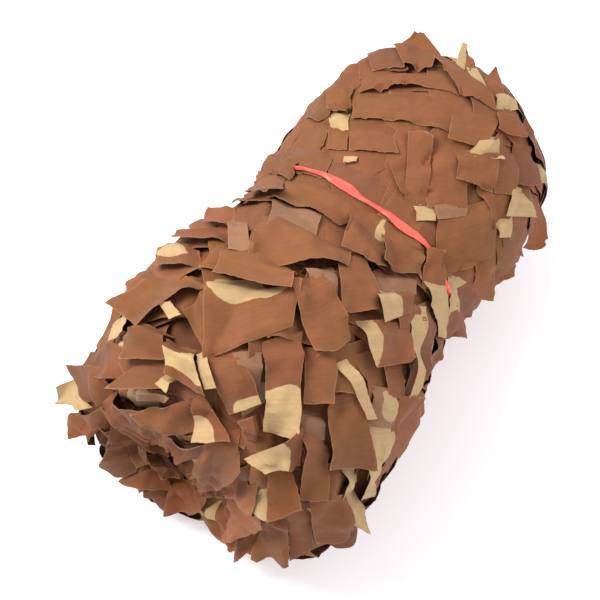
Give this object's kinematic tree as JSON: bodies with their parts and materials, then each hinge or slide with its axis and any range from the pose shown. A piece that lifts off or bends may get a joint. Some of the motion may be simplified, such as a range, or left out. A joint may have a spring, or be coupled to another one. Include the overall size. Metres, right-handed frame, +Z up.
{
  "type": "rolled camouflage netting",
  "caption": "Camouflage netting of cut cloth leaves, rolled up, drawn in and tied round its waist with a flat tape.",
  "frame": {"origin": "middle of the flat spot that the roll rests on, under the roll and about half way along it", "axes": "+X along the roll from the end with the open spiral to the closed end, +Z up from the surface it lies on"},
  "size_m": [0.5844, 0.3301, 0.2993],
  "materials": {
    "net_cloth": "matt coated woven cloth, printed brown and tan",
    "tie_tape": "satin red woven plastic tape"
  },
  "bodies": {
    "root": {"net_roll": "net_cloth", "tie_band": "tie_tape"}
  },
  "joints": []
}
